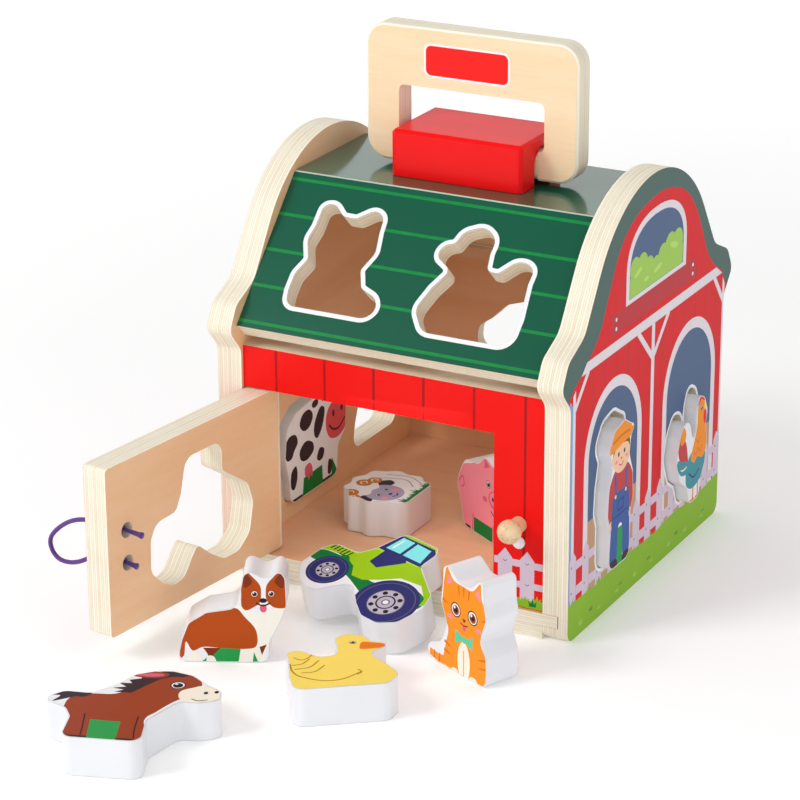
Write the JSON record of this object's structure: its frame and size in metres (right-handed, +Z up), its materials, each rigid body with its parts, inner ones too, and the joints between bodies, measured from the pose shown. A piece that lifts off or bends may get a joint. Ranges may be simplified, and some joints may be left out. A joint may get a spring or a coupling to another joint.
{
  "type": "farm animal shape sorter",
  "caption": "Wooden barn shape sorter with a hinged door, a folding carrying handle and flat animal blocks that fit matching holes.",
  "frame": {"origin": "on the floor, in the middle of the barn's footprint", "axes": "+X to the right along the front, +Y to the back, +Z up"},
  "size_m": [0.2099, 0.3708, 0.2415],
  "materials": {
    "bare_plywood": "clear lacquered birch",
    "printed_plywood": "printed birch plywood",
    "red_plywood": "red gloss paint",
    "green_plywood": "green satin paint",
    "beech": "sanded beech",
    "zinc": "zinc plated",
    "white_paint": "white paint",
    "elastic": "covered round elastic",
    "printed_block": "printed plywood"
  },
  "bodies": {
    "barn": {"base_board": "bare_plywood", "left_wall": "printed_plywood", "right_wall": "printed_plywood", "front_panel": "red_plywood", "back_wall": "bare_plywood", "roof_top_panel": "green_plywood", "front_roof_panel": "green_plywood", "back_roof_panel": "green_plywood", "wall_dowels": "beech", "handle_saddle": "red_plywood", "saddle_screws": "zinc", "stile_knob": "beech", "stile_button": "white_paint"},
    "handle": {"handle_plate": "bare_plywood"},
    "door": {"door_panel": "bare_plywood", "door_pin_top": "beech", "door_pin_bottom": "beech", "elastic_loop": "elastic", "loop_knots": "elastic"},
    "horse": {"horse_block": "printed_block"},
    "duck": {"duck_block": "printed_block"},
    "dog": {"dog_block": "printed_block"},
    "cat": {"cat_block": "printed_block"},
    "tractor": {"tractor_block": "printed_block"},
    "sheep": {"sheep_block": "printed_block"},
    "pig": {"pig_block": "printed_block"},
    "cow": {"cow_block": "printed_block"},
    "farmer": {"farmer_block": "printed_block"},
    "rooster": {"rooster_block": "printed_block"}
  },
  "joints": [
    {"name": "handle_fold", "type": "hinge", "parent": "barn", "child": "handle", "pos_m": [0, 0, 0.1856], "axis": [1, 0, 0], "range_deg": [-90, 90]},
    {"name": "door_hinge", "type": "hinge", "parent": "barn", "child": "door", "pos_m": [-0.0665, -0.075, 0.0512], "axis": [0, 0, 1], "range_deg": [0, 97.5]},
    {"name": "horse_lift", "type": "slide", "parent": "barn", "child": "horse", "axis": [0, 0, 1], "range_m": [0, 0.15]},
    {"name": "cat_lift", "type": "slide", "parent": "barn", "child": "cat", "axis": [0, 0, 1], "range_m": [0, 0.15]},
    {"name": "duck_lift", "type": "slide", "parent": "barn", "child": "duck", "axis": [0, -0.5, 0.866], "range_m": [0, 0.2]},
    {"name": "dog_lift", "type": "slide", "parent": "barn", "child": "dog", "axis": [0, -0.8, 0.6], "range_m": [0, 0.52]},
    {"name": "tractor_lift", "type": "slide", "parent": "barn", "child": "tractor", "axis": [0, -0.3, 0.9539], "range_m": [0, 0.36]},
    {"name": "sheep_lift", "type": "slide", "parent": "barn", "child": "sheep", "axis": [0, 0, 1], "range_m": [0, 0.05]},
    {"name": "pig_lift", "type": "slide", "parent": "barn", "child": "pig", "axis": [0, 0, 1], "range_m": [0, 0.05]},
    {"name": "cow_slide", "type": "slide", "parent": "barn", "child": "cow", "axis": [1, 0, 0], "range_m": [-0.06, 0.015]},
    {"name": "farmer_slide", "type": "slide", "parent": "barn", "child": "farmer", "axis": [1, 0, 0], "range_m": [-0.02, 0.06]},
    {"name": "rooster_slide", "type": "slide", "parent": "barn", "child": "rooster", "axis": [1, 0, 0], "range_m": [-0.02, 0.06]}
  ],
  "couplings": [
    {"joint": "dog_lift", "follows": "door_hinge", "m_per_rad": 0.3},
    {"joint": "tractor_lift", "follows": "door_hinge", "m_per_rad": 0.2},
    {"joint": "duck_lift", "follows": "door_hinge", "m_per_rad": 0.115}
  ]
}
